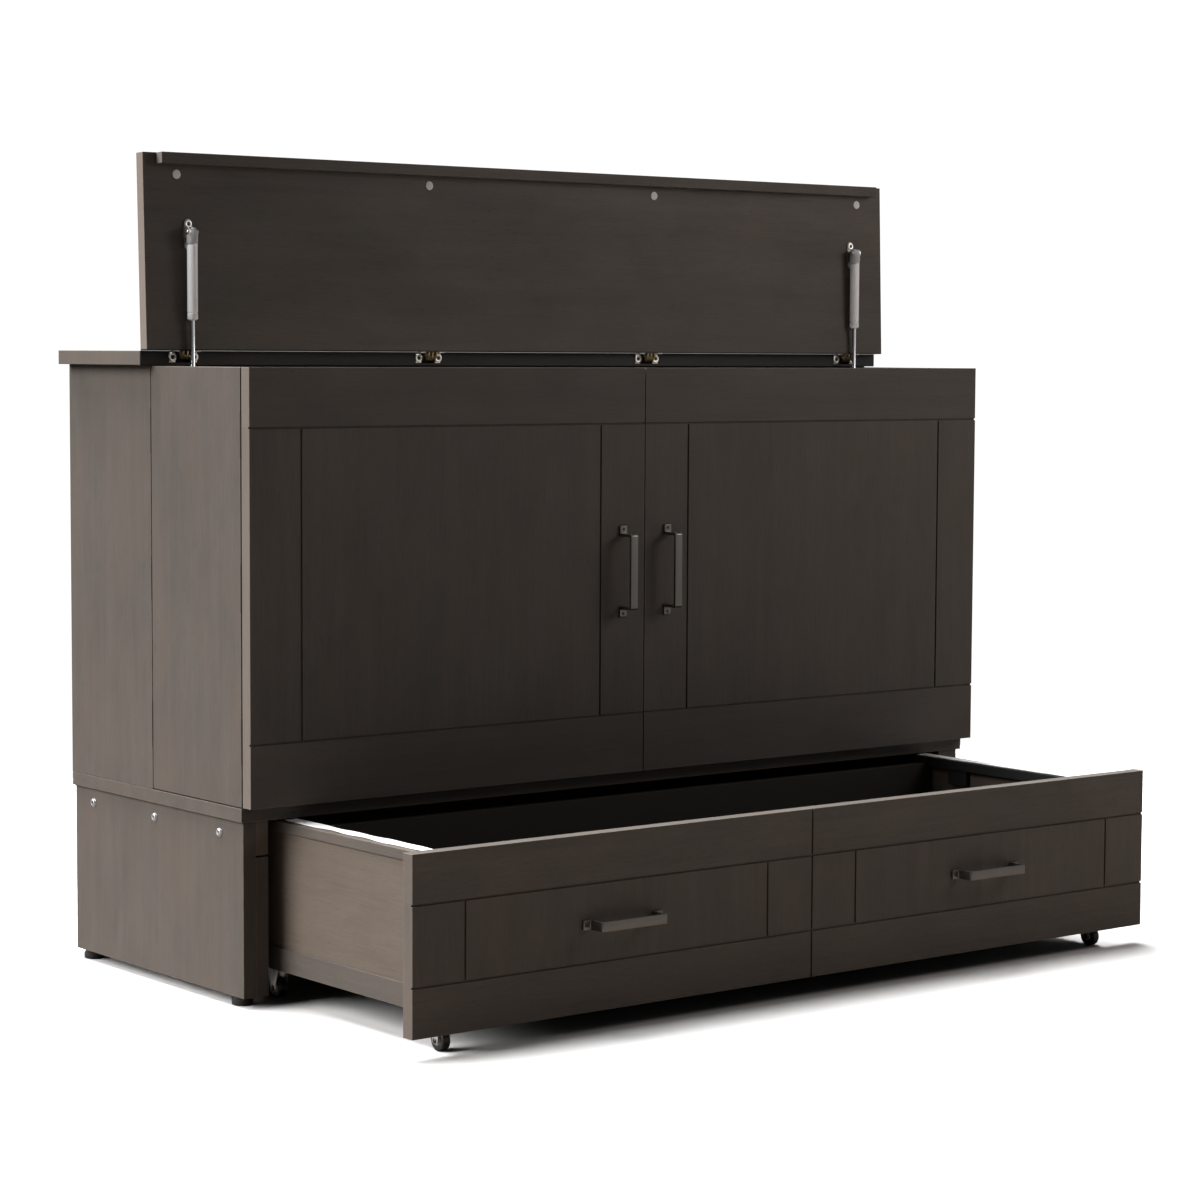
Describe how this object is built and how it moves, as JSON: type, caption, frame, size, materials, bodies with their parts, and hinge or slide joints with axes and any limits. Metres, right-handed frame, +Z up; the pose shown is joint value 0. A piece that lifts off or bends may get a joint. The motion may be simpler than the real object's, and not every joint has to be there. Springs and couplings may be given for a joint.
{
  "type": "murphy cabinet bed",
  "caption": "Low cabinet that folds out into a bed: hinged lid on gas struts, doors on folding side wings, wide drawer on casters and a folded mattress inside.",
  "frame": {"origin": "middle of the bed's box on the floor, at rest with the lid open and the drawer out", "axes": "+X along the bed's width, +Y from the drawer towards the back, +Z up"},
  "size_m": [1.668, 1.0756, 1.3991],
  "materials": {
    "stained_wood": "satin dark stain",
    "drawer_plywood": "matt grey-brown",
    "black_paint": "matt black paint",
    "back_board": "matt",
    "bed_plywood": "clear lacquer",
    "black_plastic": "moulded",
    "zinc_steel": "zinc plated",
    "hinge_brass": "satin",
    "black_steel": "powder coat",
    "ticking": "knitted cover",
    "felt": "white felt",
    "strut_silver": "silver paint",
    "rod_chrome": "polished",
    "pull_gunmetal": "satin dark bronze",
    "caster_rubber": "matt"
  },
  "bodies": {
    "cabinet": {"deck_board": "stained_wood", "base_side_left": "stained_wood", "base_side_right": "stained_wood", "base_back": "stained_wood", "base_posts": "stained_wood", "base_top_blocks": "drawer_plywood", "base_feet": "black_plastic", "base_bolts": "zinc_steel", "rear_side_left": "stained_wood", "rear_side_right": "stained_wood", "back_panel": "back_board", "rear_top": "stained_wood", "top_hinge_links": "hinge_brass", "strut_lower_brackets": "zinc_steel", "wing_hinge_plates": "zinc_steel", "platform_panel_inner": "bed_plywood", "platform_panel_outer": "bed_plywood", "platform_hinges": "zinc_steel", "platform_legs": "black_steel", "mattress_front": "ticking", "mattress_middle": "ticking", "mattress_rear": "ticking"},
    "lid": {"lid_panel": "stained_wood", "lid_lip": "stained_wood", "lid_bumpers": "felt", "lid_hinge_links": "hinge_brass", "strut_upper_brackets": "zinc_steel"},
    "strut_tube_left": {"strut_tube_left": "strut_silver"},
    "strut_rod_left": {"strut_rod_left": "rod_chrome"},
    "wing_left": {"side_wing_left": "stained_wood", "wing_hinges_left": "zinc_steel"},
    "door_left": {"door_left": "stained_wood", "door_hinges_left": "zinc_steel", "door_pull_left": "pull_gunmetal"},
    "strut_tube_right": {"strut_tube_right": "strut_silver"},
    "strut_rod_right": {"strut_rod_right": "rod_chrome"},
    "wing_right": {"side_wing_right": "stained_wood", "wing_hinges_right": "zinc_steel"},
    "door_right": {"door_right": "stained_wood", "door_hinges_right": "zinc_steel", "door_pull_right": "pull_gunmetal"},
    "wheel_front_left": {"caster_wheel_front_left": "caster_rubber"},
    "wheel_front_right": {"caster_wheel_front_right": "caster_rubber"},
    "wheel_rear_left": {"caster_wheel_rear_left": "caster_rubber"},
    "wheel_rear_right": {"caster_wheel_rear_right": "caster_rubber"},
    "drawer": {"drawer_front": "stained_wood", "drawer_side_left": "drawer_plywood", "drawer_side_right": "drawer_plywood", "drawer_side_rails": "stained_wood", "drawer_ledgers": "drawer_plywood", "drawer_back": "drawer_plywood", "drawer_bottom": "drawer_plywood", "felt_strip_left": "felt", "felt_strip_right": "felt", "felt_blocks": "black_paint", "drawer_pull_left": "pull_gunmetal", "drawer_pull_right": "pull_gunmetal", "caster_forks": "zinc_steel", "caster_axles": "zinc_steel"}
  },
  "joints": [
    {"name": "lid_hinge", "type": "hinge", "parent": "cabinet", "child": "lid", "pos_m": [0, 0.25315, 1.07], "axis": [1, 0, 0], "range_deg": [0, 91.83], "stiffness_Nm_per_rad": 3, "springref_deg": -85.94},
    {"name": "strut_swing_left", "type": "hinge", "parent": "lid", "child": "strut_tube_left", "pos_m": [-0.751, 0.22296, 1.26806], "axis": [1, 0, 0], "range_deg": [-23.75, 0.5]},
    {"name": "strut_slide_left", "type": "slide", "parent": "strut_tube_left", "child": "strut_rod_left", "axis": [0, 0, 1], "range_m": [-0.001, 0.12182]},
    {"name": "wing_hinge_left", "type": "hinge", "parent": "cabinet", "child": "wing_left", "pos_m": [-0.813, 0.25655, 0.68865], "axis": [0, 0, -1], "range_deg": [0, 90]},
    {"name": "door_hinge_left", "type": "hinge", "parent": "wing_left", "child": "door_left", "pos_m": [-0.813, -0.02875, 0.68865], "axis": [0, 0, -1], "range_deg": [0, 180]},
    {"name": "strut_swing_right", "type": "hinge", "parent": "lid", "child": "strut_tube_right", "pos_m": [0.751, 0.22296, 1.26806], "axis": [1, 0, 0], "range_deg": [-23.75, 0.5]},
    {"name": "strut_slide_right", "type": "slide", "parent": "strut_tube_right", "child": "strut_rod_right", "axis": [0, 0, 1], "range_m": [-0.001, 0.12182]},
    {"name": "wing_hinge_right", "type": "hinge", "parent": "cabinet", "child": "wing_right", "pos_m": [0.813, 0.25655, 0.68865], "axis": [0, 0, 1], "range_deg": [0, 90]},
    {"name": "door_hinge_right", "type": "hinge", "parent": "wing_right", "child": "door_right", "pos_m": [0.813, -0.02875, 0.68865], "axis": [0, 0, 1], "range_deg": [0, 180]},
    {"name": "drawer_slide", "type": "slide", "parent": "cabinet", "child": "drawer", "axis": [0, 1, 0], "range_m": [0, 0.45]},
    {"name": "wheel_spin_front_left", "type": "hinge", "parent": "drawer", "child": "wheel_front_left", "pos_m": [-0.722, -0.45725, 0.017], "axis": [1, 0, 0], "continuous": true},
    {"name": "wheel_spin_front_right", "type": "hinge", "parent": "drawer", "child": "wheel_front_right", "pos_m": [0.722, -0.45725, 0.017], "axis": [1, 0, 0], "continuous": true},
    {"name": "wheel_spin_rear_left", "type": "hinge", "parent": "drawer", "child": "wheel_rear_left", "pos_m": [-0.707, 0.03075, 0.017], "axis": [1, 0, 0], "continuous": true},
    {"name": "wheel_spin_rear_right", "type": "hinge", "parent": "drawer", "child": "wheel_rear_right", "pos_m": [0.707, 0.03075, 0.017], "axis": [1, 0, 0], "continuous": true}
  ],
  "couplings": [
    {"joint": "strut_swing_left", "follows": "lid_hinge", "ratio": -0.25317},
    {"joint": "strut_slide_left", "follows": "lid_hinge", "m_per_rad": 0.07538},
    {"joint": "strut_swing_right", "follows": "lid_hinge", "ratio": -0.25317},
    {"joint": "strut_slide_right", "follows": "lid_hinge", "m_per_rad": 0.07538}
  ]
}
